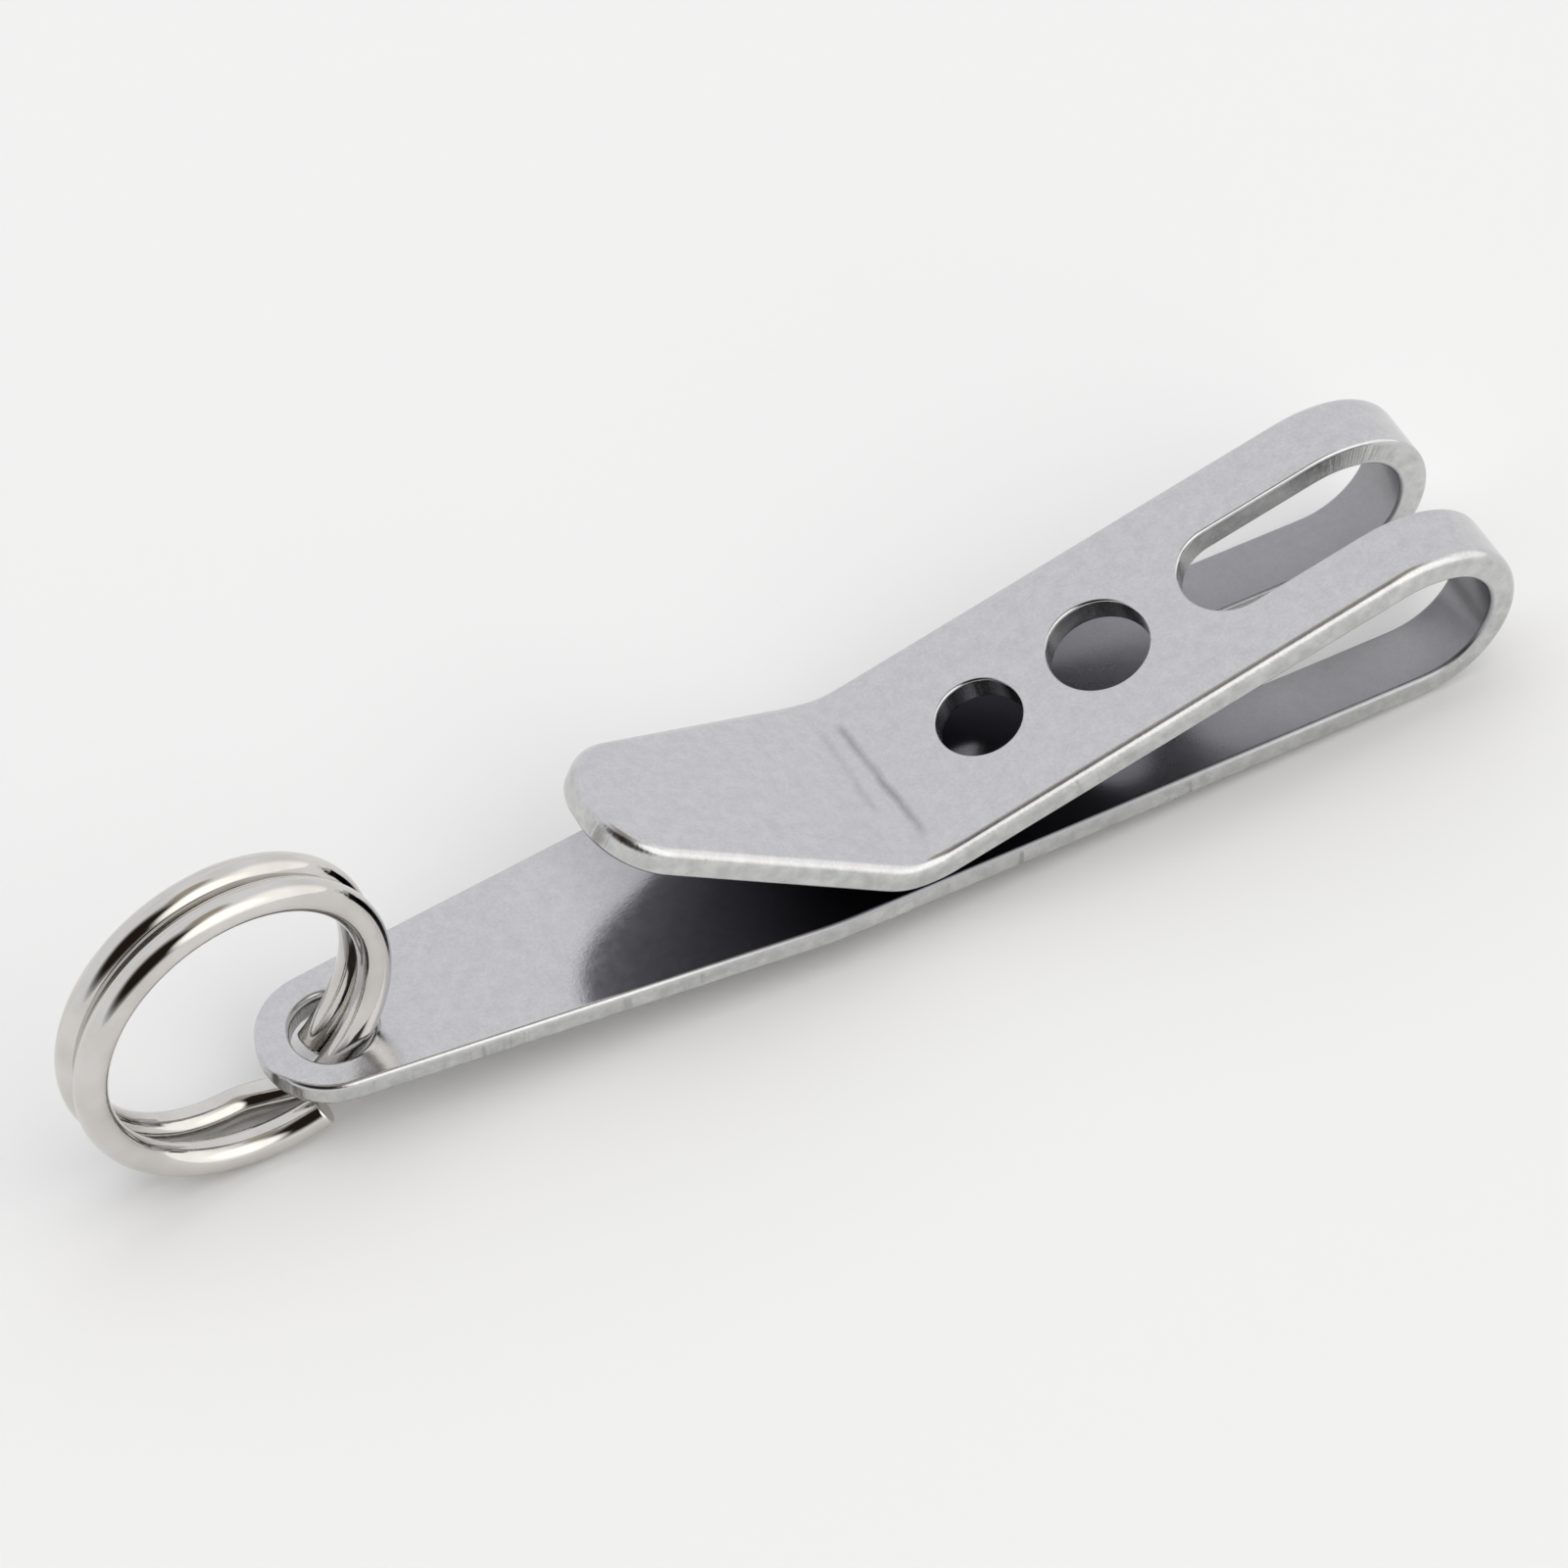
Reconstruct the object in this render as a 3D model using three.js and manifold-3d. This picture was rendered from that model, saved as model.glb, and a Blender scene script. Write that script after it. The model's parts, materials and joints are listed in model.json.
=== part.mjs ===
// Pocket clip with a split ring, in millimetres, +Z up.
// One stainless strip, folded back on itself, makes the back strip and the spring arm. The strip's own
// frame has its origin under the middle of the eye, +X along the strip to the fold, +Z to the spring arm.

import * as THREE from 'three';
import { mergeVertices } from 'three/addons/utils/BufferGeometryUtils.js';
import Module from 'manifold-3d';

// The strip's blank.
const WIDTH = 10.3;
const THICKNESS = 1.3;
const EYE_END_RADIUS = 3.1;
const TAPER_LENGTH = 20.2; // from the eye's middle to the full width
const EYE_RADIUS = 1.7;
const EYE_CHAMFER = 0.32;

// The side view: straight legs and bends, in the order in which the strip runs.
const BACK_LENGTH = 47.55; // from the eye's middle to the fold
const FOLD_BENDS = [
  { radius: 3.7, degrees: 71 },
  { radius: 3.3, degrees: 92 },
  { radius: 5, degrees: 31.4 },
];
const CONTACT_RADIUS = 3.9; // of the bend where the arm meets the back strip
const CONTACT_GAP = 0.05;
const TAB_RISE = 27; // degrees between the lead-in tab and the back strip
const TAB_LENGTH = 12.6;
const TAB_END_WIDTH = 6;
const TAB_CORNER_RADIUS = 3.1;
const HINGE_GAP = 0.3; // between the two solids at the middle of the fold

// The slot through the fold, and the arm's two holes, measured along the arm from the fold.
const SLOT_WIDTH = 4.3;
const SLOT_ON_BACK = 6.65; // straight length on the back strip
const SLOT_ON_ARM = 5.2;
const ARM_HOLES = [
  { distance: 11.5, radius: 2.17 },
  { distance: 17.2, radius: 1.82 },
];

// The split ring. Its own frame has +Y along the ring's axis and +Z up.
const WIRE_RADIUS = 0.7;
const RING_RADIUS = 6.62; // to the middle of the wire
const OVALITY = 0.041; // how much longer and shorter than that the slightly sprung ring is
const LONG_WAY = 96.5; // degrees below the ring's +X in which it is longest
const TURN_PITCH = 1.456;
const RING_CENTRE = new THREE.Vector3(-4.41, -0.42, 5.35);
const RING_YAW = 5.2; // degrees about the eye's axis
const RING_LEAN = 0.3;
const WIRE_START = 65; // degrees below the ring's +X, where the near end lies
const WIRE_LENGTH = 711; // degrees of turn in the whole wire
const CROSSING = [350, 386]; // degrees of turn where the wire crosses to the far turn
const END_SPLAY = 1.22; // how far the near end springs away from the far turn
const SPLAY_LENGTH = 110; // degrees over which it does so

// The fold and the ring's lowest wire stand on the same level.
const REST_TILT = 2.47;

const BEND_STEP = 6; // degrees between facets of a bend
const HOLE_SIDES = 40;
const WIRE_SIDES = 12;
const STEPS_PER_TURN = 44;

const wasm = await Module();
wasm.setup();

const radians = THREE.MathUtils.degToRad;

const steel = { color: 0xc4c4c7, roughness: 0.36, metalness: 1 };
const nickel = { color: 0xd2cfc9, roughness: 0.12, metalness: 1 };

// A closed geometry as a solid that can be cut and joined.
function solidOf(geometry) {
  const bare = geometry.clone();
  bare.deleteAttribute('normal');
  bare.deleteAttribute('uv');
  const merged = mergeVertices(bare, 1e-5);
  return new wasm.Manifold(new wasm.Mesh({
    numProp: 3,
    vertProperties: merged.attributes.position.array,
    triVerts: Uint32Array.from(merged.index.array),
  }));
}

function meshOf(name, solid, look) {
  const { vertProperties, triVerts } = solid.getMesh();
  const geometry = new THREE.BufferGeometry();
  geometry.setAttribute('position', new THREE.BufferAttribute(vertProperties, 3));
  geometry.setIndex(new THREE.BufferAttribute(triVerts, 1));
  geometry.computeVertexNormals();
  return namedMesh(name, geometry, look);
}

function namedMesh(name, geometry, look) {
  const mesh = new THREE.Mesh(geometry, new THREE.MeshStandardMaterial(look));
  mesh.name = name;
  return mesh;
}

// Where the strip's middle surface is after each leg: position in the side view and heading in radians.
function walk(start, legs) {
  const stations = [{ ...start, leg: null }];
  for (const leg of legs) {
    const { x, z, heading } = stations.at(-1);
    if (leg.length !== undefined) {
      stations.push({
        x: x + leg.length * Math.cos(heading),
        z: z + leg.length * Math.sin(heading),
        heading,
      });
      continue;
    }
    const steps = Math.ceil(Math.abs(leg.degrees) / BEND_STEP);
    const side = Math.sign(leg.degrees);
    const centreX = x - side * leg.radius * Math.sin(heading);
    const centreZ = z + side * leg.radius * Math.cos(heading);
    for (let step = 1; step <= steps; step += 1) {
      const turned = heading + radians(leg.degrees) * step / steps;
      stations.push({
        x: centreX + side * leg.radius * Math.sin(turned),
        z: centreZ - side * leg.radius * Math.cos(turned),
        heading: turned,
      });
    }
  }
  return stations;
}

// The strip's full width along some stations, as a bent slab.
function bentSlab(stations) {
  const half = THICKNESS / 2;
  const side = (sign) => stations.map(({ x, z, heading }) => new THREE.Vector2(
    x + sign * half * Math.sin(heading),
    z - sign * half * Math.cos(heading),
  ));
  const outline = new THREE.Shape([...side(1), ...side(-1).reverse()]);
  const slab = new THREE.ExtrudeGeometry(outline, { depth: WIDTH, bevelEnabled: false });
  slab.translate(0, 0, -WIDTH / 2);
  slab.rotateX(Math.PI / 2);
  return solidOf(slab);
}

// A cutter or mask: a plan outline, made tall both ways from its plane.
function tallPrism(shape, height = 60) {
  const prism = new THREE.ExtrudeGeometry(shape, { depth: height, bevelEnabled: false, curveSegments: 20 });
  prism.translate(0, 0, -height / 2);
  return prism;
}

// Plan outline with +X along the strip, +Y across it, in the plane of a straight leg.
function slotOutline(endX, direction) {
  const half = SLOT_WIDTH / 2;
  const far = endX + direction * 40;
  const shape = new THREE.Shape();
  shape.moveTo(far, direction * half);
  shape.lineTo(endX, direction * half);
  const startAngle = direction * Math.PI / 2;
  shape.absarc(endX, 0, half, startAngle, startAngle + Math.PI, false);
  shape.lineTo(far, -direction * half);
  return shape;
}

// The back strip's plan: a round end about the eye, a straight taper, then full width past the fold.
function backOutline() {
  const half = WIDTH / 2;
  const reach = Math.hypot(TAPER_LENGTH, half);
  const tangent = Math.atan2(half, TAPER_LENGTH) + Math.acos(EYE_END_RADIUS / reach);
  const shape = new THREE.Shape();
  shape.moveTo(TAPER_LENGTH, -half);
  shape.lineTo(100, -half);
  shape.lineTo(100, half);
  shape.lineTo(TAPER_LENGTH, half);
  shape.absarc(0, 0, EYE_END_RADIUS, tangent, 2 * Math.PI - tangent, false);
  return shape;
}

// The tab's plan, from its bend at X = 0: sides that draw in, and large round corners at its tip.
function tabOutline() {
  const half = WIDTH / 2;
  const tipHalf = TAB_END_WIDTH / 2;
  const drawIn = Math.atan2(half - tipHalf, TAB_LENGTH);
  const cornerX = TAB_LENGTH - TAB_CORNER_RADIUS;
  const tangentLength = TAB_CORNER_RADIUS * Math.tan((Math.PI / 2 - drawIn) / 2);
  const cornerY = tipHalf + tangentLength * Math.sin(drawIn) - TAB_CORNER_RADIUS * Math.cos(drawIn);
  const shape = new THREE.Shape();
  shape.moveTo(-100, -half);
  shape.lineTo(0, -half);
  shape.absarc(cornerX, -cornerY, TAB_CORNER_RADIUS, drawIn - Math.PI / 2, 0, false);
  shape.absarc(cornerX, cornerY, TAB_CORNER_RADIUS, 0, Math.PI / 2 - drawIn, false);
  shape.lineTo(0, half);
  shape.lineTo(-100, half);
  return shape;
}

// Moves a shape's geometry from a straight leg's own plane to where that leg starts.
function onLeg(geometry, { x, z, heading }) {
  const along = new THREE.Vector3(Math.cos(heading), 0, Math.sin(heading));
  const across = new THREE.Vector3(0, -1, 0);
  const outward = new THREE.Vector3().crossVectors(along, across);
  const place = new THREE.Matrix4().makeBasis(along, across, outward).setPosition(x, 0, z);
  return geometry.applyMatrix4(place);
}

function holeCutter(radius) {
  return new THREE.CylinderGeometry(radius, radius, 4 * THICKNESS, HOLE_SIDES).rotateX(Math.PI / 2);
}

// A cone that opens the eye's rim at one face; side is +1 for the upper face and -1 for the lower.
function eyeChamfer(side) {
  const height = 2 * EYE_CHAMFER;
  const wide = EYE_RADIUS + height;
  const radii = side > 0 ? [wide, EYE_RADIUS] : [EYE_RADIUS, wide];
  const cone = new THREE.CylinderGeometry(...radii, height, HOLE_SIDES).rotateX(Math.PI / 2);
  return cone.translate(0, 0, THICKNESS / 2 * (1 + side));
}

const foldStart = { x: BACK_LENGTH, z: THICKNESS / 2, heading: 0 };
const [firstBend, middleBend, lastBend] = FOLD_BENDS;
const gapDegrees = THREE.MathUtils.radToDeg(HINGE_GAP / middleBend.radius);
const beforeGap = 90 - firstBend.degrees - gapDegrees / 2;

function backStrip() {
  const stations = [
    { x: -EYE_END_RADIUS, z: THICKNESS / 2, heading: 0 },
    ...walk(foldStart, [firstBend, { radius: middleBend.radius, degrees: beforeGap }]),
  ];
  let solid = bentSlab(stations).intersect(solidOf(tallPrism(backOutline())));
  solid = solid.subtract(solidOf(tallPrism(slotOutline(BACK_LENGTH - SLOT_ON_BACK, 1))));
  solid = solid.subtract(solidOf(holeCutter(EYE_RADIUS)));
  for (const side of [-1, 1]) {
    solid = solid.subtract(solidOf(eyeChamfer(side)));
  }
  return meshOf('back_strip', solid, steel);
}

// The arm's middle surface from the gap in the fold to the tab's tip.
function armLegs() {
  const foldEnd = walk(foldStart, FOLD_BENDS).at(-1);
  const slope = foldEnd.heading - Math.PI;
  const contactZ = 1.5 * THICKNESS + CONTACT_GAP + CONTACT_RADIUS * (1 - Math.cos(slope));
  const armLength = (foldEnd.z - contactZ) / Math.sin(slope);
  const contactDegrees = THREE.MathUtils.radToDeg(slope) + TAB_RISE;
  return { foldEnd, legs: [{ length: armLength }, { radius: CONTACT_RADIUS, degrees: -contactDegrees }] };
}

function springArm() {
  const { foldEnd, legs } = armLegs();
  const gapEnd = walk(foldStart, [
    firstBend,
    { radius: middleBend.radius, degrees: beforeGap + gapDegrees },
  ]).at(-1);
  const stations = walk(gapEnd, [
    { radius: middleBend.radius, degrees: middleBend.degrees - beforeGap - gapDegrees },
    lastBend,
    ...legs,
    { length: TAB_LENGTH },
  ]);
  const tabStart = walk(foldEnd, legs).at(-1);
  let solid = bentSlab(stations).intersect(solidOf(onLeg(tallPrism(tabOutline()), tabStart)));
  solid = solid.subtract(solidOf(onLeg(tallPrism(slotOutline(SLOT_ON_ARM, -1)), foldEnd)));
  for (const { distance, radius } of ARM_HOLES) {
    solid = solid.subtract(solidOf(onLeg(holeCutter(radius).translate(distance, 0, 0), foldEnd)));
  }
  return meshOf('spring_arm', solid, steel);
}

// The ring's wire: two turns side by side. The near end springs away from the far turn.
class SplitRingCurve extends THREE.Curve {
  getPoint(t, target = new THREE.Vector3()) {
    const turned = t * WIRE_LENGTH;
    const crossed = THREE.MathUtils.smoothstep(turned, ...CROSSING);
    const splay = END_SPLAY * Math.max(0, 1 - turned / SPLAY_LENGTH) ** 2;
    const angle = radians(WIRE_START + turned);
    const radius = RING_RADIUS * (1 + OVALITY * Math.cos(2 * (angle - radians(LONG_WAY))));
    return target.set(
      radius * Math.cos(angle),
      (crossed - 0.5) * TURN_PITCH - splay,
      -radius * Math.sin(angle),
    );
  }
}

function splitRing() {
  const section = new THREE.Shape();
  section.absarc(0, 0, WIRE_RADIUS, 0, 2 * Math.PI, false);
  const wire = new THREE.ExtrudeGeometry(section, {
    extrudePath: new SplitRingCurve(),
    steps: Math.round(STEPS_PER_TURN * WIRE_LENGTH / 360),
    curveSegments: WIRE_SIDES,
  });
  const ring = meshOf('split_ring', solidOf(wire), nickel);
  ring.position.copy(RING_CENTRE);
  ring.rotation.set(radians(RING_LEAN), 0, radians(RING_YAW), 'ZXY');
  return ring;
}

// The clip at rest: the fold and the ring stand on Z = 0, with the origin under the middle of the whole.
const clip = new THREE.Group();
clip.add(backStrip(), springArm(), splitRing());
clip.rotation.y = radians(REST_TILT);
const bounds = new THREE.Box3().setFromObject(clip, true);
const middle = bounds.getCenter(new THREE.Vector3());
clip.position.set(-middle.x, -middle.y, -bounds.min.z);

const object = new THREE.Group();
object.add(clip);

export default object;
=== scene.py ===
"""Pocket clip with a split ring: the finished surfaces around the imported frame, in Blender 4.5."""

import json
import math

import bpy
import numpy as np
from mathutils import Matrix, Vector
from mathutils.geometry import delaunay_2d_cdt


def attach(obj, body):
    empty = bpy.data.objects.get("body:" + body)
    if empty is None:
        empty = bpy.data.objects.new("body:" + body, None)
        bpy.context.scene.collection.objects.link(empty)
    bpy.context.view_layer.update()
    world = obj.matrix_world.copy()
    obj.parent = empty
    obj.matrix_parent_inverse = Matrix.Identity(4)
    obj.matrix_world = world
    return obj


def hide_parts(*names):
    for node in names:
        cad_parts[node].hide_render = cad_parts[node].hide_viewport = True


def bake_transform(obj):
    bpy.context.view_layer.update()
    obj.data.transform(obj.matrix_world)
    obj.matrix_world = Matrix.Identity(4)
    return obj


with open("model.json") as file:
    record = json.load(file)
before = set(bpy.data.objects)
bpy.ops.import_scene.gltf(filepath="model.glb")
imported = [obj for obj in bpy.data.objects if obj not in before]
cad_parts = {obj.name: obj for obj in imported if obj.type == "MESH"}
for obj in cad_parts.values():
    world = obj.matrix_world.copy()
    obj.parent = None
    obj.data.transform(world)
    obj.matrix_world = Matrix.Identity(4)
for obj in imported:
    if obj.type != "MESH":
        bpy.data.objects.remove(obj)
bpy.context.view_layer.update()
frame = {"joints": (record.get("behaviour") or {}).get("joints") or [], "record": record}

MM = 0.001

# The strip, in millimetres. A point of its flat blank is (s, y, z): s runs along the middle surface
# from the eye's centre, y across the strip, and z from the middle surface to the face inside the fold.
WIDTH = 10.3
THICKNESS = 1.3
EYE_END_RADIUS = 3.1
EYE_RADIUS = 1.7
TAPER_LENGTH = 20.2
TAPER_BLEND_RADIUS = 20  # of the outline where the taper meets the parallel sides
BACK_LENGTH = 47.55
FOLD_BENDS = ((3.7, 71), (3.3, 92), (5.0, 31.4))  # radius and degrees of each
CONTACT_RADIUS = 3.9
CONTACT_GAP = 0.05
TAB_RISE = 27
TAB_LENGTH = 12.6
TAB_END_WIDTH = 6.0
TAB_CORNER_RADIUS = 3.1
TAB_SHOULDER_SETBACK = 0.6  # how far before the tab's straight part its sides start to close in
TAB_SHOULDER_RADIUS = 5
SLOT_WIDTH = 4.3
SLOT_ON_BACK = 6.65
SLOT_ON_ARM = 5.2
ARM_HOLES = ((11.5, 2.17), (17.2, 1.82))  # distance from the fold, and radius
BEND_RUN_OUT = 0.3  # how gradually a bend begins and ends
SEAM_MATCH = 2e-5  # points this near to a seam between two pieces lie on it
INNER_EDGE = 0.22  # rounding of the edges of the face inside the fold
OUTER_EDGE = 0.48  # and of the face outside it, which tumbled against other parts
OPENING_EDGE = 0.15  # of the slot and the arm's holes
EYE_EDGE = 0.32

# How finely the strip is cut up, in millimetres.
FLAT_STEP = 0.8
BENT_STEP = 0.2
BENT_FROM = 0.01  # curvature, per millimetre, from which the strip counts as bent
OUTLINE_STEP = 0.22  # along rounded corners
ROWS_ACROSS = 14
CLEARANCE = 0.12  # between the points inside a face and its edges
LEG_CLEARANCE = 0.09  # between a cut and the nearer end of a leg, where there is a cut of its own

# Marks of the bending tool's edge across the arm's outer face at the contact bend: arc length on the
# strip's middle line, slant, from and to across the strip, half width, and how dark.
DIE_MARKS = (
    (82.28, 0.073, -3.8, 3.4, 0.34, 1.0),
    (83.5, 0.0, -1.9, 3.3, 0.34, 0.4),
)

# The split ring, in millimetres. Angles are in degrees of turn, from +X of the ring downwards.
WIRE_RADIUS = 0.7
RING_RADIUS = 6.62  # to the middle of the wire
OVALITY = 0.041  # how much longer and shorter than that the slightly sprung ring is
LONG_WAY = 96.5  # the direction in which it is longest
TURN_PITCH = 1.456  # between the middles of its two turns
WIRE_START = 65
WIRE_LENGTH = 711  # just short of two turns
CROSSING = (350, 386)  # after the wire's start, where it crosses to the far turn
END_SPLAY = 1.22  # how far the near end springs away from the far turn
SPLAY_LENGTH = 110  # and over how many degrees
WIRE_END_ROUNDING = 0.12
WIRE_STEPS = 520
WIRE_SIDES = 28

# The view, in degrees and metres. The lens and the sensor are in millimetres.
CAMERA_AZIMUTH = -22.333
CAMERA_ELEVATION = 50.936
CAMERA_ROLL = -6.358
CAMERA_DISTANCE = 0.26512
CAMERA_AIM = (0.000214, -0.000123, 0.005974)
CAMERA_LENS = 150.96
SENSOR_WIDTH = 36

# The studio. A zone of the surroundings is a direction's azimuth and elevation, the angles from it at
# which the zone is full and gone, and its colour; later zones cover earlier ones.
WALLS = (0.88, 0.88, 0.90, 1)
CEILING_GAP = (60, 82, 8, 20, (0.42, 0.38, 0.30, 1))
SIDE_WINDOW = (55, 12, 22, 52, (1.3, 1.285, 1.25, 1))
DARK_ROOM = (-40, 40, 22, 48, (0.02, 0.014, 0.01, 1))
DIFFUSER = (21, 36, 17, 32, (1.62, 1.6, 1.54, 1))
ZONES = (CEILING_GAP, SIDE_WINDOW, DARK_ROOM, DIFFUSER)
OVERHEAD_STRENGTH = 0.6
OVERHEAD_SPREAD = 60  # degrees
FLOOR_SIZE = 6.0  # metres
PAPER = (0.92, 0.92, 0.92, 1)

# Where the strip's finish and its painted shade change, in metres of the blank. A pair is where a change
# starts and is full. Lengths along the strip run from the eye.
SIDE_WALL = (0.00052, 0.00034)  # distance from the middle surface, on the sheared sides
INNER_FACE = (0.00045, 0.00062)  # height of the face inside the fold
OUTER_FACE = (-0.0005, -0.0006)
COVERED = (0.011, 0.021)  # along the back, where the tab and the arm come to lie over it, and the painted shade under them begins
DULL_FROM = (0.030, 0.040)  # along the back, from where the inner face is rougher
FOLD_OPENS = (0.033, 0.042)  # along the back, where the gap under the arm widens into the fold
FOLD_CLOSES = (0.078, 0.066)  # and along the arm, from its far end, where it does the same
SHADE_IN_FOLD = 0.56  # part of the shade under the arm that is left where the fold is open
FOLD_MIDDLE = 0.056
TEARS_FROM_FOLD = (0.007, 0.012)  # distance from the fold's middle, where the sides start to be torn

# The colours of bare metal, and one painted shade.
SATIN_DARK, SATIN_LIGHT = (0.565, 0.563, 0.577, 1), (0.645, 0.644, 0.655, 1)
SMUDGE = (0.50, 0.50, 0.52, 1)
# The next colour is painted shade, not a colour of the metal: it darkens the inner face inside the fold and
# under the arm and tab.
PAINTED_FOLD_SHADE = (0.10, 0.097, 0.116, 1)
SHEARED_DARK, SHEARED_LIGHT = (0.49, 0.495, 0.485, 1), (0.66, 0.665, 0.655, 1)
TORN = (0.25, 0.25, 0.25, 1)
DIE_MARK = (0.20, 0.19, 0.21, 1)
NICKEL, WORN_NICKEL = (0.68, 0.665, 0.64, 1), (0.58, 0.56, 0.53, 1)


def joint(name):
    return next(j for j in frame["joints"] if j["name"] == name)


def strip_frame():
    """From the strip's own frame, with its origin in the eye at mid thickness, to the row's frame."""
    swivel = joint("ring_swivel")
    up = Vector(swivel["axis"]).normalized()
    across = Vector((0, 1, 0))
    along = across.cross(up).normalized()
    place = Matrix((along, across, up)).transposed().to_4x4()
    place.translation = Vector(swivel["pos_m"])
    return place


# ---------------------------------------------------------------- the strip's side view


class SideView:
    """The strip's middle surface in the side view: place and heading at every arc length."""

    STEP = 0.01

    def __init__(self, legs):
        """legs is a list of (length, turn in degrees), in the order in which the strip runs."""
        ends = np.cumsum([0.0] + [length for length, _ in legs])
        self.ends = ends
        self.s = np.arange(0, ends[-1] + self.STEP, self.STEP)
        curvature = np.zeros_like(self.s)
        for (length, turn), start, end in zip(legs, ends[:-1], ends[1:]):
            rise = np.tanh((self.s - start) / BEND_RUN_OUT) - np.tanh((self.s - end) / BEND_RUN_OUT)
            curvature += math.radians(turn) / length * rise / 2
        self.curvature = curvature
        self.heading = self._run(curvature)
        self.x = self._run(np.cos(self.heading))
        self.z = self._run(np.sin(self.heading))

    def _run(self, rate):
        return np.concatenate([[0.0], np.cumsum((rate[1:] + rate[:-1]) / 2) * self.STEP])

    def bend(self, blank):
        """Points (s, y, z) of the flat blank, folded into the strip's frame."""
        s, y, z = blank.T
        heading = np.interp(s, self.s, self.heading)
        x = np.interp(s, self.s, self.x) + np.minimum(s, 0)
        height = np.interp(s, self.s, self.z)
        return np.column_stack([x - z * np.sin(heading), y, height + z * np.cos(heading)])

    def turn(self, directions, s):
        """Directions in the flat blank at arc length s, turned as the strip is bent there."""
        heading = np.interp(s, self.s, self.heading)
        ds, dy, dz = directions.T
        cos, sin = np.cos(heading), np.sin(heading)
        return np.column_stack([ds * cos - dz * sin, dy, ds * sin + dz * cos])

    def stations(self):
        """Arc lengths to cut the strip at: close together where it bends."""
        marks = [0.0]
        while marks[-1] < self.s[-1]:
            bend = np.interp(marks[-1], self.s, np.abs(self.curvature))
            marks.append(marks[-1] + (BENT_STEP if bend > BENT_FROM else FLAT_STEP))
        marks = np.array([m for m in marks if np.abs(self.ends - m).min() > LEG_CLEARANCE])
        return np.sort(np.concatenate([marks, self.ends[1:-1]]))


def clip_legs():
    """The side view's legs: back, fold, arm, the bend that touches the back, and the lead-in tab."""
    fold = [(radius * math.radians(degrees), degrees) for radius, degrees in FOLD_BENDS]
    z = heading = 0.0
    for radius, degrees in FOLD_BENDS:
        turned = heading + math.radians(degrees)
        z += radius * (math.cos(heading) - math.cos(turned))
        heading = turned
    slope = heading - math.pi
    contact = THICKNESS + CONTACT_GAP + CONTACT_RADIUS * (1 - math.cos(slope))
    arm = (z - contact) / math.sin(slope)
    turn_up = slope + math.radians(TAB_RISE)
    legs = [(BACK_LENGTH, 0), *fold, (arm, 0)]
    legs.append((CONTACT_RADIUS * turn_up, -math.degrees(turn_up)))
    legs.append((TAB_LENGTH, 0))
    return legs


# ---------------------------------------------------------------- the strip's flat blank


def rounded(corners):
    """A closed outline from (x, y, radius) corners, counterclockwise: each corner becomes an arc."""
    points = []
    count = len(corners)
    for i in range(count):
        before, corner, after = corners[i - 1], corners[i], corners[(i + 1) % count]
        here = Vector(corner[:2])
        to_before = (Vector(before[:2]) - here).normalized()
        to_after = (Vector(after[:2]) - here).normalized()
        turn = math.pi - to_before.angle(to_after)
        radius = corner[2]
        centre = here + (to_before + to_after).normalized() * radius / math.cos(turn / 2)
        start = here + to_before * radius * math.tan(turn / 2) - centre
        steps = max(3, math.ceil(radius * turn / OUTLINE_STEP))
        for k in range(steps + 1):
            points.append(centre + Matrix.Rotation(turn * k / steps, 2) @ start)
    return np.array([tuple(p) for p in points])


def circle(x, y, radius, count=72):
    angles = np.linspace(0, 2 * math.pi, count, endpoint=False)
    return np.column_stack([x + radius * np.cos(angles), y + radius * np.sin(angles)])


def with_stations(outline, stations):
    """Adds points where long straight edges of an outline cross the stations."""
    shortest, margin = 0.3, 0.05
    points = []
    for start, end in zip(outline, np.roll(outline, -1, axis=0)):
        points.append(start)
        run = end[0] - start[0]
        if abs(run) < shortest:
            continue
        low, high = sorted((start[0], end[0]))
        between = stations[(stations > low + margin) & (stations < high - margin)]
        for s in between if run > 0 else between[::-1]:
            points.append(start + (end - start) * (s - start[0]) / run)
    return np.array(points)


def outward(outline):
    """Unit normals at an outline's points, away from the material on its left."""
    chord = np.roll(outline, -1, axis=0) - np.roll(outline, 1, axis=0)
    normal = np.column_stack([chord[:, 1], -chord[:, 0]])
    return normal / np.linalg.norm(normal, axis=1)[:, None]


def inside(points, outline):
    """Which points lie inside a closed outline."""
    x, y = points[:, :1], points[:, 1:]
    ax, ay = outline.T
    bx, by = np.roll(outline, -1, axis=0).T
    crosses = (ay > y) != (by > y)
    with np.errstate(divide="ignore", invalid="ignore"):
        at = ax + (y - ay) / (by - ay) * (bx - ax)
    return (crosses & (x < at)).sum(axis=1) % 2 == 1


def edge_profile(inner, outer):
    """Down the strip's edge from the inner face to the outer: (inset, z, how far the normal has tipped)."""
    half = THICKNESS / 2
    steps, wall_steps = 6, 4
    rows = []
    for k in range(steps + 1):
        tip = math.pi / 2 * k / steps
        rows.append((inner * (1 - math.sin(tip)), half - inner * (1 - math.cos(tip)), tip))
    for k in range(1, wall_steps):
        height = (half - inner) + (inner + outer - THICKNESS) * k / wall_steps
        rows.append((0.0, height, math.pi / 2))
    for k in range(steps + 1):
        tip = math.pi / 2 * (1 + k / steps)
        rows.append((outer * (1 - math.sin(tip)), -half + outer * (1 + math.cos(tip)), tip))
    return rows


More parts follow.
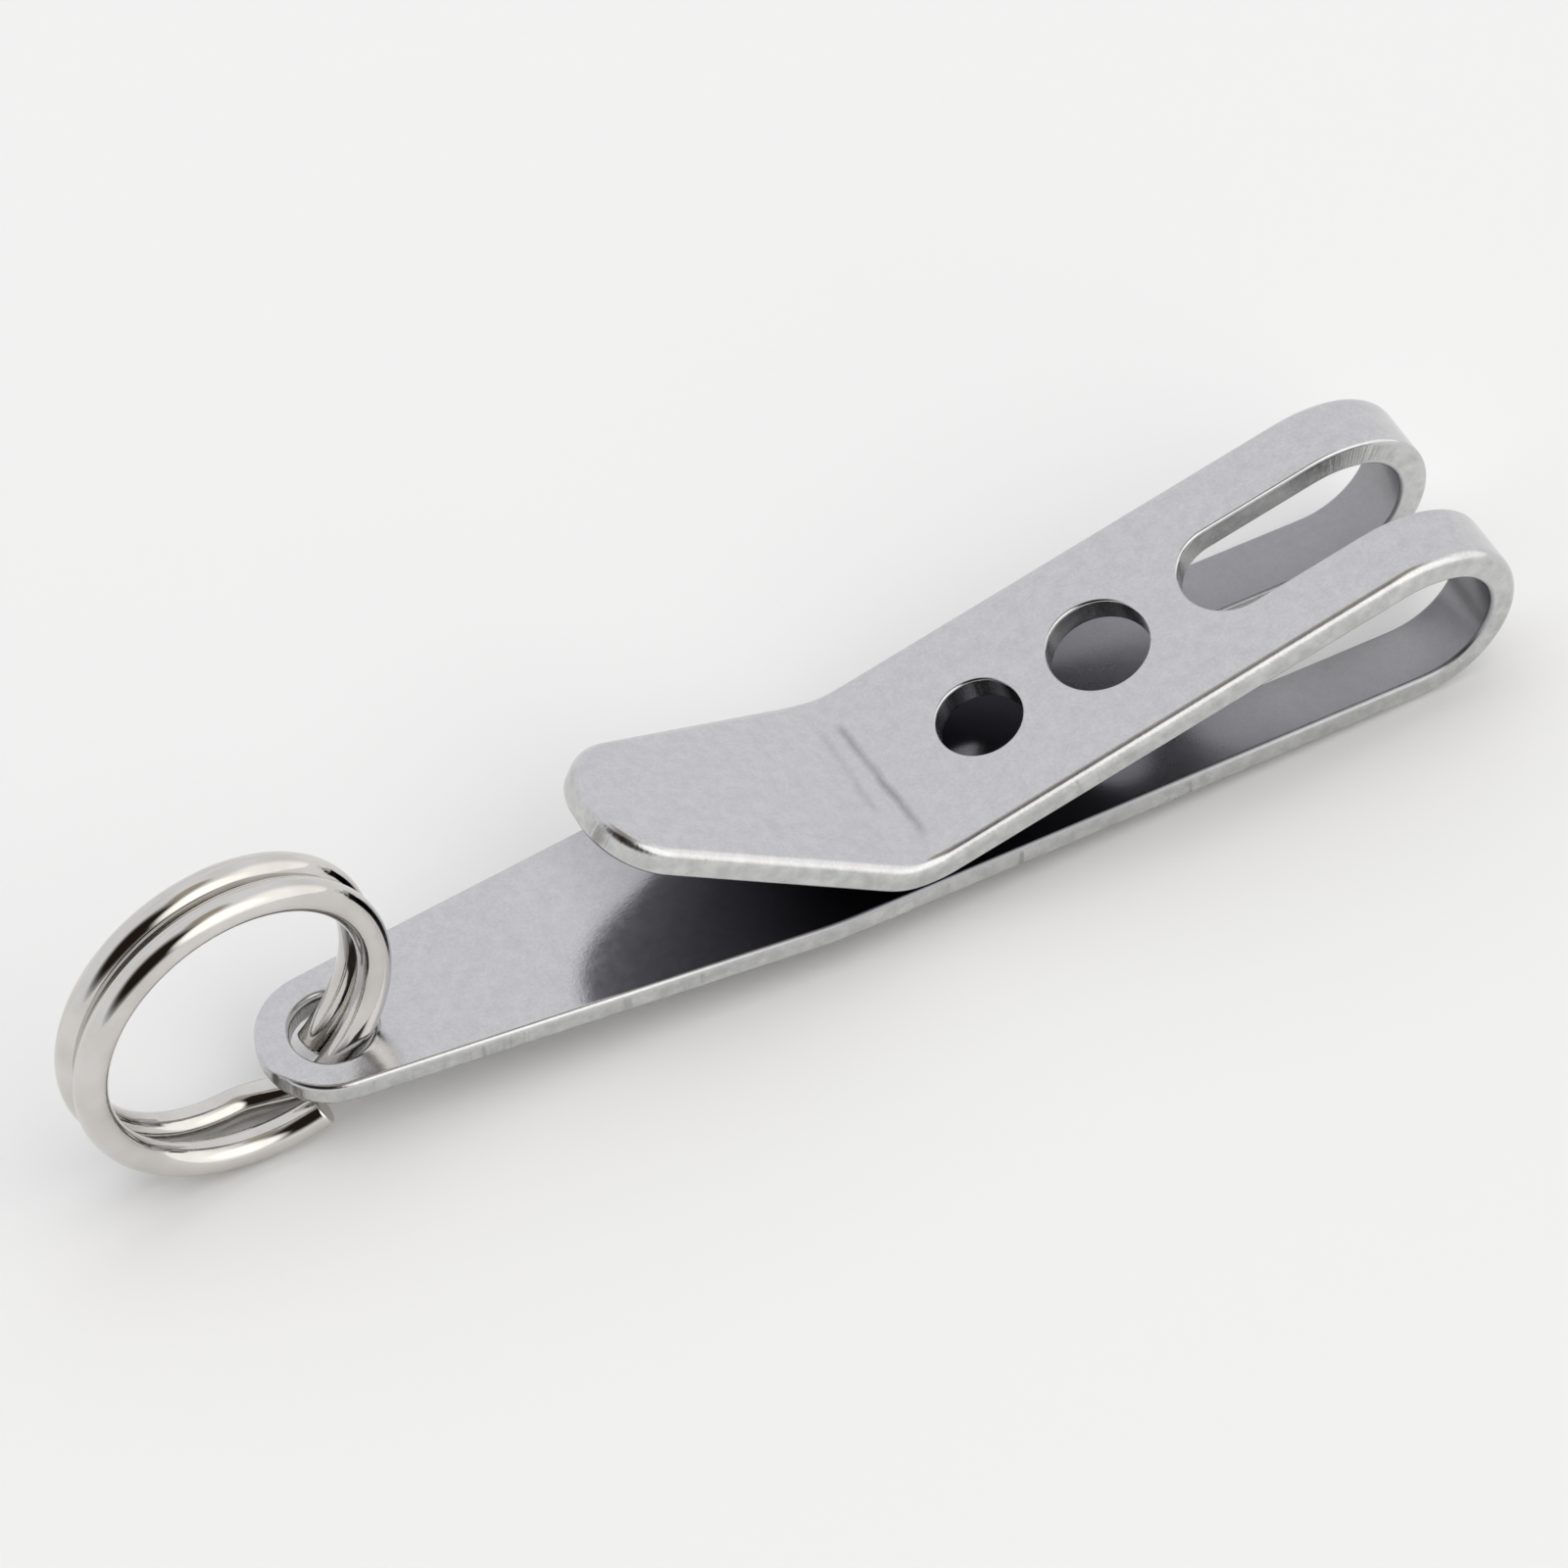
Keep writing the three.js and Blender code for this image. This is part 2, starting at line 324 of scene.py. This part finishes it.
def blank_outlines(view):
    """The blank's outer outline, counterclockwise, and its openings, clockwise, each with its roundings."""
    half = WIDTH / 2
    tab = view.ends[-2]
    end = view.ends[-1]
    fold_start, fold_end = view.ends[1], view.ends[1 + len(FOLD_BENDS)]
    reach = math.hypot(TAPER_LENGTH, half)
    taper = math.asin(half / reach) - math.asin(EYE_END_RADIUS / reach)
    apex = -EYE_END_RADIUS / math.sin(taper)
    tip = TAB_END_WIDTH / 2
    lower = [
        (TAPER_LENGTH, -half, TAPER_BLEND_RADIUS),
        (tab - TAB_SHOULDER_SETBACK, -half, TAB_SHOULDER_RADIUS),
        (end, -tip, TAB_CORNER_RADIUS),
    ]
    upper = [(s, -y, radius) for s, y, radius in reversed(lower)]
    outer = rounded([(apex, 0, EYE_END_RADIUS), *lower, *upper])
    slot_start, slot_end = fold_start - SLOT_ON_BACK, fold_end + SLOT_ON_ARM
    round_end = SLOT_WIDTH / 2
    slot = rounded([
        (slot_start - round_end, -round_end, round_end),
        (slot_end + round_end, -round_end, round_end),
        (slot_end + round_end, round_end, round_end),
        (slot_start - round_end, round_end, round_end),
    ])
    stations = view.stations()
    crisp = (OPENING_EDGE, OPENING_EDGE)
    openings = [(with_stations(slot, stations)[::-1], crisp)]
    openings.append((circle(0, 0, EYE_RADIUS)[::-1], (EYE_EDGE, EYE_EDGE)))
    for distance, radius in ARM_HOLES:
        openings.append((circle(fold_end + distance, 0, radius)[::-1], crisp))
    return [(with_stations(outer, stations), (INNER_EDGE, OUTER_EDGE)), *openings]


def face_triangles(loops, view):
    """Covers a face of the blank between its loops with triangles, finer where the strip bends."""
    seams = (view.ends[1], view.ends[1 + len(FOLD_BENDS)])
    points = [p for loop in loops for p in loop]
    edges = []
    first = 0
    for loop in loops:
        count = len(loop)
        edges += [(first + k, first + (k + 1) % count) for k in range(count)]
        first += count
    boundary = np.array(points)
    for seam in seams:
        on_seam = list(np.flatnonzero(np.abs(boundary[:, 0] - seam) < SEAM_MATCH))
        on_seam.sort(key=lambda k: boundary[k, 1])
        edges += [(on_seam[0], on_seam[1]), (on_seam[2], on_seam[3])]
    rows = np.linspace(-WIDTH / 2, WIDTH / 2, ROWS_ACROSS)[1:-1]
    grid = np.array([(s, y) for s in view.stations() for y in rows])
    keep = inside(grid, loops[0])
    for hole in loops[1:]:
        keep &= ~inside(grid, hole)
    gap = np.min(np.linalg.norm(grid[:, None] - boundary[None], axis=2), axis=1)
    grid = grid[keep & (gap > CLEARANCE)]
    flat = [Vector(p) for p in points] + [Vector(p) for p in grid]
    verts, _, faces, originals, _, _ = delaunay_2d_cdt(flat, edges, [], 0, 1e-7)
    corners = np.array([tuple(v) for v in verts])
    faces = np.array(faces)
    centres = corners[faces].mean(axis=1)
    keep = inside(centres, loops[0])
    for hole in loops[1:]:
        keep &= ~inside(centres, hole)
    source = np.array([o[0] if o else -1 for o in originals])
    return corners, faces[keep], source


def strip_mesh(view):
    """The whole blank as points, normals and faces, still flat."""
    outlines = blank_outlines(view)
    points, normals, faces = [], [], []
    top_loops, bottom_loops, top_ids, bottom_ids = [], [], [], []
    for outline, (inner, outer) in outlines:
        side = outward(outline)
        profile = edge_profile(inner, outer)
        first = len(points)
        count = len(outline)
        for inset, z, tip in profile:
            ring = np.round(outline - side * inset, 5)
            points += [(s, y, z) for s, y in ring]
            normals += [(n[0] * math.sin(tip), n[1] * math.sin(tip), math.cos(tip)) for n in side]
        for level in range(len(profile) - 1):
            for k in range(count):
                a = first + level * count + k
                b = first + level * count + (k + 1) % count
                faces.append((b, a, a + count, b + count))
        last = first + (len(profile) - 1) * count
        top_loops.append(np.round(outline - side * inner, 5))
        bottom_loops.append(np.round(outline - side * outer, 5))
        top_ids += range(first, first + count)
        bottom_ids += range(last, last + count)
    for loops, ids, z in ((top_loops, top_ids, 1), (bottom_loops, bottom_ids, -1)):
        corners, triangles, source = face_triangles(loops, view)
        index = []
        for corner, origin in zip(corners, source):
            if 0 <= origin < len(ids):
                index.append(ids[origin])
            else:
                index.append(len(points))
                points.append((corner[0], corner[1], z * THICKNESS / 2))
                normals.append((0, 0, z))
        for a, b, c in triangles:
            face = (index[a], index[b], index[c])
            faces.append(face if z > 0 else face[::-1])
    return np.array(points), np.array(normals), faces


def piece(name, points, normals, faces, blank, material):
    """A mesh object from points in metres, with exact normals and the blank's coordinates."""
    mesh = bpy.data.meshes.new(name)
    mesh.from_pydata([tuple(p) for p in points], [], [tuple(f) for f in faces])
    mesh.update()
    attribute = mesh.attributes.new("blank", "FLOAT_VECTOR", "POINT")
    attribute.data.foreach_set("vector", (blank * MM).astype(np.float32).ravel())
    mesh.polygons.foreach_set("use_smooth", [True] * len(mesh.polygons))
    mesh.normals_split_custom_set_from_vertices([tuple(n) for n in normals])
    mesh.materials.append(material)
    made = bpy.data.objects.new(name, mesh)
    bpy.context.scene.collection.objects.link(made)
    return made


def cut_caps(faces, blank, seam):
    """Closes a piece where it was cut across at a seam, with one polygon for each prong."""
    on_seam = np.abs(blank[:, 0] - seam) < SEAM_MATCH
    links = {}
    counted = {}
    for face in faces:
        for a, b in zip(face, face[1:] + face[:1]):
            counted[(a, b)] = counted.get((a, b), 0) + 1
    for a, b in counted:
        if (b, a) not in counted and on_seam[a] and on_seam[b]:
            links[b] = a
    caps = []
    while links:
        start, at = links.popitem()
        loop = [start, at]
        while at in links:
            at = links.pop(at)
            if at != start:
                loop.append(at)
        caps.append(tuple(loop))
    return caps


def strip_pieces(steel):
    """The folded strip as three pieces: the back, the fold, and the arm with its tab."""
    view = SideView(clip_legs())
    blank, normals, faces = strip_mesh(view)
    place = np.array(strip_frame())
    bent = view.bend(blank) * MM @ place[:3, :3].T + place[:3, 3]
    turned = view.turn(normals, blank[:, 0]) @ place[:3, :3].T
    centres = np.array([np.mean([blank[k, 0] for k in face]) for face in faces])
    seams = (view.ends[1], view.ends[1 + len(FOLD_BENDS)])
    made = []
    for name, low, high in (
        ("clip_back", -math.inf, seams[0]),
        ("clip_fold", seams[0], seams[1]),
        ("clip_arm", seams[1], math.inf),
    ):
        chosen = [faces[k] for k in np.flatnonzero((centres > low) & (centres < high))]
        used = sorted({k for face in chosen for k in face})
        renumber = {old: new for new, old in enumerate(used)}
        local = [tuple(renumber[k] for k in face) for face in chosen]
        for seam in seams:
            local += cut_caps(local, blank[used], seam)
        made.append(piece(name, bent[used], turned[used], local, blank[used], steel))
    back, fold, arm = made
    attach(back, "back_strip")
    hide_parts("back_strip")
    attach(arm, "spring_arm")
    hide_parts("spring_arm")
    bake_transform(fold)


# ---------------------------------------------------------------- the split ring


def wire_point(turned):
    """Middle of the wire in the ring's frame, in millimetres, after some degrees of turn."""
    t = np.clip((turned - CROSSING[0]) / (CROSSING[1] - CROSSING[0]), 0, 1)
    crossed = t * t * (3 - 2 * t)
    splay = END_SPLAY * np.maximum(0, 1 - turned / SPLAY_LENGTH) ** 2
    angle = np.radians(WIRE_START + turned)
    radius = RING_RADIUS * (1 + OVALITY * np.cos(2 * (angle - math.radians(LONG_WAY))))
    side = (crossed - 0.5) * TURN_PITCH - splay
    return np.column_stack([radius * np.cos(angle), side, -radius * np.sin(angle)])


def ring_frame():
    """From the ring's own frame, with +Y along its axis, to the row's frame."""
    mount = next(m for m in frame["record"]["mounts"] if m["name"] == "key_ring")
    axis = Vector(mount["axis"]).normalized()
    up = Vector(joint("ring_swivel")["axis"]).normalized()
    side = axis.cross(up).normalized()
    place = Matrix((side, axis, side.cross(axis))).transposed().to_4x4()
    place.translation = Vector(mount["pos_m"])
    return place


def wire_piece(nickel):
    """The whole wire as one tube, with its two ends rounded off."""
    steps, sides = WIRE_STEPS, WIRE_SIDES
    turned = np.linspace(0, WIRE_LENGTH, steps + 1)
    middle = wire_point(turned)
    tangent = np.gradient(middle, axis=0)
    tangent /= np.linalg.norm(tangent, axis=1)[:, None]
    outwards = middle * [1, 0, 1]
    outwards -= tangent * (outwards * tangent).sum(axis=1)[:, None]
    outwards /= np.linalg.norm(outwards, axis=1)[:, None]
    sideways = np.cross(tangent, outwards)
    angles = np.linspace(0, 2 * math.pi, sides, endpoint=False)
    rounding = WIRE_END_ROUNDING
    rows = [(WIRE_RADIUS - rounding * (1 - math.sin(tip)), rounding * (1 - math.cos(tip)), math.cos(tip))
            for tip in (0, 0.4, 0.8, 1.2)]
    points, normals, blank = [], [], []

    def add_row(k, radius, push, lean):
        """A ring of points round the wire at step k, pushed along it, with normals leaning to its end."""
        for angle in angles:
            radial = outwards[k] * math.cos(angle) + sideways[k] * math.sin(angle)
            points.append(middle[k] + tangent[k] * push + radial * radius)
            normals.append(radial * math.sqrt(1 - lean * lean) + tangent[k] * lean)
            blank.append((math.radians(turned[k]) * RING_RADIUS, angle * WIRE_RADIUS, 0))

    for radius, push, lean in rows:
        add_row(0, radius, push, -lean)
    for k in range(1, steps):
        add_row(k, WIRE_RADIUS, 0, 0)
    for radius, push, lean in reversed(rows):
        add_row(steps, radius, -push, lean)
    count = len(points) // sides
    faces = []
    for row in range(count - 1):
        for k in range(sides):
            a = row * sides + k
            b = row * sides + (k + 1) % sides
            faces.append((a, b, b + sides, a + sides))
    faces.append(tuple(range(sides))[::-1])
    faces.append(tuple(range((count - 1) * sides, count * sides)))
    place = np.array(ring_frame())
    placed = np.array(points) * MM @ place[:3, :3].T + place[:3, 3]
    turned_normals = np.array(normals) @ place[:3, :3].T
    ring = piece("split_ring_wire", placed, turned_normals, faces, np.array(blank), nickel)
    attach(ring, "split_ring")
    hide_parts("split_ring")


# ---------------------------------------------------------------- materials


class Nodes:
    """Short calls for building a material's nodes. Noise scales are in features per metre."""

    def __init__(self, name):
        self.material = bpy.data.materials.new(name)
        self.material.use_nodes = True
        self.tree = self.material.node_tree
        self.shader = self.tree.nodes["Principled BSDF"]

    def node(self, kind, inputs=None, **settings):
        made = self.tree.nodes.new(kind)
        for key, value in settings.items():
            setattr(made, key, value)
        for key, value in (inputs or {}).items():
            self.feed(made.inputs[key], value)
        return made

    def feed(self, socket, value):
        if isinstance(value, bpy.types.NodeSocket):
            self.tree.links.new(value, socket)
        else:
            socket.default_value = value

    def math(self, operation, a, b=0.0):
        return self.node("ShaderNodeMath", {0: a, 1: b}, operation=operation).outputs[0]

    def scaled(self, vector, factors):
        return self.node("ShaderNodeVectorMath", {0: vector, 1: factors}, operation="MULTIPLY").outputs[0]

    def noise(self, vector, scale, detail=3.0, roughness=0.55):
        inputs = {"Vector": vector, "Scale": scale, "Detail": detail, "Roughness": roughness}
        return self.node("ShaderNodeTexNoise", inputs).outputs["Fac"]

    def ramp(self, value, low, high, to_low=0.0, to_high=1.0):
        inputs = {"Value": value, "From Min": low, "From Max": high, "To Min": to_low, "To Max": to_high}
        return self.node("ShaderNodeMapRange", inputs).outputs["Result"]

    def mix(self, factor, a, b):
        made = self.node("ShaderNodeMix", data_type="RGBA")
        self.feed(made.inputs["Factor"], factor)
        self.feed(made.inputs["A"], a)
        self.feed(made.inputs["B"], b)
        return made.outputs["Result"]

    def die_marks(self, along, across, height):
        """Lines that the bending tool's edge left across the outer face: 1 on a line, 0 away from it."""
        place = self.node("ShaderNodeCombineXYZ", {"Y": across}).outputs[0]
        wander = self.noise(place, 900, 3)
        worn = self.ramp(self.noise(place, 420, 2), 0.3, 0.6, 0.55, 1)
        outer = self.ramp(height, *OUTER_FACE)
        waviness, fade = 0.08 * MM, 0.6
        marks = 0.0
        for at, slant, low, high, width, depth in DIE_MARKS:
            centre = self.math("ADD", self.math("MULTIPLY", across, slant), at * MM)
            wavy = self.math("ADD", centre, self.ramp(wander, 0.3, 0.7, -waviness, waviness))
            off = self.math("ABSOLUTE", self.math("SUBTRACT", along, wavy))
            line = self.math("MULTIPLY", self.ramp(off, width * MM, 0, 0, depth), worn)
            starts = self.ramp(across, low * MM, (low + fade) * MM)
            stops = self.ramp(across, high * MM, (high - fade) * MM)
            for mask in (outer, starts, stops):
                line = self.math("MULTIPLY", line, mask)
            marks = self.math("MAXIMUM", marks, line)
        return marks

    def bump(self, height, distance, strength=1.0, normal=None):
        inputs = {"Height": height, "Distance": distance, "Strength": strength}
        if normal is not None:
            inputs["Normal"] = normal
        return self.node("ShaderNodeBump", inputs).outputs["Normal"]


def tumbled_steel():
    """Stainless strip, stamped, bent and tumbled: an even satin, sheared sides, a dull inner face, and
    painted shade under the arm.
    """
    n = Nodes("tumbled_steel")
    blank = n.node("ShaderNodeAttribute", attribute_name="blank").outputs["Vector"]
    parts = n.node("ShaderNodeSeparateXYZ", {"Vector": blank})
    along, across, height = parts.outputs["X"], parts.outputs["Y"], parts.outputs["Z"]
    side = n.ramp(n.math("ABSOLUTE", height), *SIDE_WALL)
    inner_face = n.ramp(height, *INNER_FACE)
    open_fold = n.math("MULTIPLY", n.ramp(along, *FOLD_OPENS), n.ramp(along, *FOLD_CLOSES))
    shade = n.math("MULTIPLY", n.ramp(along, *COVERED), n.ramp(open_fold, 0, 1, 1, SHADE_IN_FOLD))
    # Painted shade: the inner face darkens from where the tab and the arm cover the back, and less where
    # the fold opens.
    painted_shade_mask = n.math("MULTIPLY", inner_face, shade)
    dull = n.math("MULTIPLY", inner_face, n.ramp(along, *DULL_FROM))

    grain = n.noise(blank, 8000, 3, 0.6)
    mottle = n.noise(blank, 1500, 5, 0.68)
    clouds = n.noise(blank, 240, 3, 0.5)
    strokes = n.noise(n.scaled(blank, (1, 0.45, 1)), 1500, 2, 0.5)
    shear = n.noise(n.scaled(blank, (1, 1, 0.06)), 5200, 3, 0.6)
    tears = n.noise(n.scaled(blank, (1, 1, 0.1)), 2300, 2, 0.5)
    from_fold = n.math("ABSOLUTE", n.math("SUBTRACT", along, FOLD_MIDDLE))
    patches = n.ramp(n.noise(blank, 110, 1), 0.50, 0.58)
    torn_places = n.math("MULTIPLY", patches, n.ramp(from_fold, *TEARS_FROM_FOLD))

    speckle = n.math("ADD", n.ramp(mottle, 0.3, 0.7), n.ramp(grain, 0.35, 0.65, -0.3, 0.3))
    even = n.mix(speckle, SATIN_DARK, SATIN_LIGHT)
    smudged = n.mix(n.ramp(strokes, 0.62, 0.80, 0, 0.4), even, SMUDGE)
    # Painted shade: the inner face under the arm and inside the fold is mixed towards a near black.
    faces = n.mix(n.math("MULTIPLY", painted_shade_mask, 0.9), smudged, PAINTED_FOLD_SHADE)
    torn = n.math("MULTIPLY", n.ramp(tears, 0.60, 0.72, 0, 0.6), torn_places)
    cut = n.mix(n.ramp(mottle, 0.35, 0.65), SHEARED_DARK, SHEARED_LIGHT)
    sides = n.mix(torn, cut, TORN)
    steel = n.mix(side, faces, sides)
    creases = n.die_marks(along, across, height)
    marked = n.mix(n.math("MULTIPLY", creases, 0.6), steel, DIE_MARK)
    n.feed(n.shader.inputs["Base Color"], marked)
    n.shader.inputs["Metallic"].default_value = 1.0
    rough = n.math("ADD", n.ramp(mottle, 0.3, 0.7, 0.14, 0.19), n.ramp(clouds, 0.3, 0.7, -0.02, 0.03))
    rough = n.math("ADD", rough, n.math("MULTIPLY", dull, 0.16))
    n.feed(n.shader.inputs["Roughness"], n.math("ADD", rough, n.math("MULTIPLY", side, 0.08)))
    fine = n.bump(grain, 0.000006, 0.4)
    soft = n.bump(mottle, 0.00001, 0.3, fine)
    sheared = n.bump(shear, 0.00004, n.math("MULTIPLY", side, 0.5), soft)
    sunk = n.bump(n.math("SUBTRACT", 1.0, creases), 0.00003, 0.7, sheared)
    n.feed(n.shader.inputs["Normal"], sunk)
    return n.material


def bright_nickel():
    """Plated spring wire: a near mirror with faint scuffs along it."""
    n = Nodes("bright_nickel")
    wire = n.node("ShaderNodeAttribute", attribute_name="blank").outputs["Vector"]
    scuffs = n.noise(n.scaled(wire, (0.25, 1, 1)), 4200, 4, 0.6)
    smears = n.noise(wire, 420, 3, 0.5)
    n.feed(n.shader.inputs["Base Color"], n.mix(n.ramp(smears, 0.4, 0.75), NICKEL, WORN_NICKEL))
    n.shader.inputs["Metallic"].default_value = 1.0
    n.feed(n.shader.inputs["Roughness"], n.ramp(smears, 0.3, 0.7, 0.04, 0.09))
    n.feed(n.shader.inputs["Normal"], n.bump(scuffs, 0.00001, 0.2))
    return n.material


# ---------------------------------------------------------------- the studio


def floor():
    """A sheet of pale matt paper that the clip lies on."""
    n = Nodes("paper")
    n.shader.inputs["Base Color"].default_value = PAPER
    n.shader.inputs["Roughness"].default_value = 0.9
    mesh = bpy.data.meshes.new("floor")
    half = FLOOR_SIZE / 2
    corners = [(-half, -half, 0), (half, -half, 0), (half, half, 0), (-half, half, 0)]
    mesh.from_pydata(corners, [], [(0, 1, 2, 3)])
    mesh.materials.append(n.material)
    made = bpy.data.objects.new("floor", mesh)
    bpy.context.scene.collection.objects.link(made)


def direction(azimuth, elevation):
    """Unit vector from the clip towards an azimuth and elevation; azimuth 0 is in front, on the -Y side."""
    a, e = math.radians(azimuth), math.radians(elevation)
    return Vector((math.sin(a) * math.cos(e), -math.cos(a) * math.cos(e), math.sin(e)))


def surroundings():
    """A pale studio with its zones: a bright diffuser and window, a dark room, and a gap overhead."""
    world = bpy.data.worlds.new("studio")
    bpy.context.scene.world = world
    world.use_nodes = True
    tree = world.node_tree
    seen = tree.nodes.new("ShaderNodeTexCoord").outputs["Generated"]
    colour = tree.nodes.new("ShaderNodeRGB").outputs[0]
    colour.default_value = WALLS
    for azimuth, elevation, core, edge, tint in ZONES:
        dot = tree.nodes.new("ShaderNodeVectorMath")
        dot.operation = "DOT_PRODUCT"
        tree.links.new(seen, dot.inputs[0])
        dot.inputs[1].default_value = direction(azimuth, elevation)
        fade = tree.nodes.new("ShaderNodeMapRange")
        fade.interpolation_type = "SMOOTHSTEP"
        tree.links.new(dot.outputs["Value"], fade.inputs["Value"])
        fade.inputs["From Min"].default_value = math.cos(math.radians(edge))
        fade.inputs["From Max"].default_value = math.cos(math.radians(core))
        mix = tree.nodes.new("ShaderNodeMix")
        mix.data_type = "RGBA"
        tree.links.new(fade.outputs["Result"], mix.inputs["Factor"])
        tree.links.new(colour, mix.inputs["A"])
        mix.inputs["B"].default_value = tint
        colour = mix.outputs["Result"]
    tree.links.new(colour, tree.nodes["Background"].inputs["Color"])


def overhead_light():
    """Soft light straight down on the paper, which the bright metal doesn't mirror."""
    data = bpy.data.lights.new("overhead", "SUN")
    data.energy = OVERHEAD_STRENGTH
    data.angle = math.radians(OVERHEAD_SPREAD)
    made = bpy.data.objects.new("overhead", data)
    made.visible_glossy = False
    bpy.context.scene.collection.objects.link(made)


def camera():
    """The view along the clip from its left front, well above it."""
    back = direction(CAMERA_AZIMUTH, CAMERA_ELEVATION)
    right = Vector((0, 0, 1)).cross(back).normalized()
    up = back.cross(right)
    turn = Matrix((right, up, back)).transposed()
    data = bpy.data.cameras.new("camera")
    data.lens = CAMERA_LENS
    data.sensor_width = SENSOR_WIDTH
    data.clip_start, data.clip_end = 0.01, 20
    made = bpy.data.objects.new("camera", data)
    place = turn.to_4x4() @ Matrix.Rotation(math.radians(CAMERA_ROLL), 4, "Z")
    place.translation = Vector(CAMERA_AIM) + back * CAMERA_DISTANCE
    made.matrix_world = place
    bpy.context.scene.collection.objects.link(made)
    bpy.context.scene.camera = made


camera()
floor()
surroundings()
overhead_light()
bpy.context.scene.view_settings.view_transform = "Standard"

strip_pieces(tumbled_steel())
wire_piece(bright_nickel())
